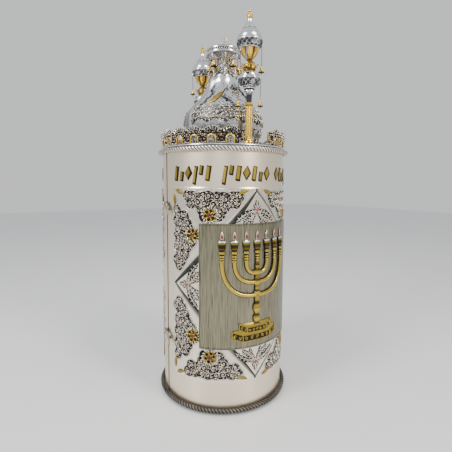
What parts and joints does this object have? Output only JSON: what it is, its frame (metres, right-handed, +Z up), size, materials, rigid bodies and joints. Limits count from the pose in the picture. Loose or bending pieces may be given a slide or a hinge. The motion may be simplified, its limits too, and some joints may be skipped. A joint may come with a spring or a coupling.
{
  "type": "torah case",
  "caption": "Upright cylindrical scroll case that opens like a book on hinges, with clasps, a pierced gallery, a split onion dome and tall finials.",
  "frame": {"origin": "bottom centre of the closed case, on its axis, where the underside meets the table", "axes": "+Z up along the case; +X out through the middle of the front half, which carries the lampstand; +Y out through the hinges; the clasps face -Y"},
  "size_m": [0.3004, 0.3008, 0.829],
  "materials": {
    "bright_silver": "polished and engraved silver, slightly warm",
    "satin_silver": "silver brushed in fine upright lines",
    "oxidised_silver": "silver repousse scrolls on a blackened ground",
    "gilt": "fire-gilt, polished on the high places",
    "wood_core": "bare planed hardwood inside",
    "red_stone": "small faceted red glass stones"
  },
  "bodies": {
    "rear_half": {"rear_wall": "bright_silver", "rear_floor": "wood_core", "rear_top": "bright_silver", "rear_bottom_rope": "bright_silver", "rear_top_rope": "bright_silver", "rear_repousse_sheet": "oxidised_silver", "rear_diamond": "bright_silver", "rear_centre_panel": "satin_silver", "rear_gallery_left": "oxidised_silver", "rear_gallery_right": "oxidised_silver", "rear_dome": "bright_silver", "rear_canopy": "bright_silver", "rear_top_leaf": "bright_silver", "rear_finial_shaft": "gilt", "rear_finial_lower_ball": "bright_silver", "rear_finial_leaf_cup": "gilt", "rear_finial_globe": "bright_silver", "rear_finial_spire": "gilt", "lower_hinge_rear_leaf": "bright_silver", "lower_hinge_pin": "bright_silver", "lower_clasp_pivot": "bright_silver", "upper_hinge_rear_leaf": "bright_silver", "upper_hinge_pin": "bright_silver", "upper_clasp_pivot": "bright_silver"},
    "front_half": {"front_wall": "bright_silver", "front_floor": "wood_core", "front_top": "bright_silver", "front_bottom_rope": "bright_silver", "front_top_rope": "bright_silver", "front_repousse_sheet": "oxidised_silver", "front_diamond": "bright_silver", "front_centre_panel": "satin_silver", "front_gallery_left": "oxidised_silver", "front_gallery_right": "oxidised_silver", "front_dome": "bright_silver", "front_canopy": "bright_silver", "front_top_leaf": "bright_silver", "front_finial_shaft": "gilt", "front_finial_lower_ball": "bright_silver", "front_finial_leaf_cup": "gilt", "front_finial_globe": "bright_silver", "front_finial_spire": "gilt", "front_lampstand": "gilt", "lower_hinge_front_leaf": "bright_silver", "lower_clasp_knob": "gilt", "upper_hinge_front_leaf": "bright_silver", "upper_clasp_knob": "gilt"},
    "upper_hook": {"upper_clasp_hook": "bright_silver"},
    "lower_hook": {"lower_clasp_hook": "bright_silver"}
  },
  "joints": [
    {"name": "case_hinge", "type": "hinge", "parent": "rear_half", "child": "front_half", "pos_m": [0, 0.1464, 0.275], "axis": [0, 0, 1], "range_deg": [0, 150]},
    {"name": "upper_clasp", "type": "hinge", "parent": "rear_half", "child": "upper_hook", "pos_m": [-0.007, -0.1448, 0.434], "axis": [0, -1, 0], "range_deg": [0, 80]},
    {"name": "lower_clasp", "type": "hinge", "parent": "rear_half", "child": "lower_hook", "pos_m": [-0.007, -0.1448, 0.147], "axis": [0, -1, 0], "range_deg": [0, 80]}
  ]
}
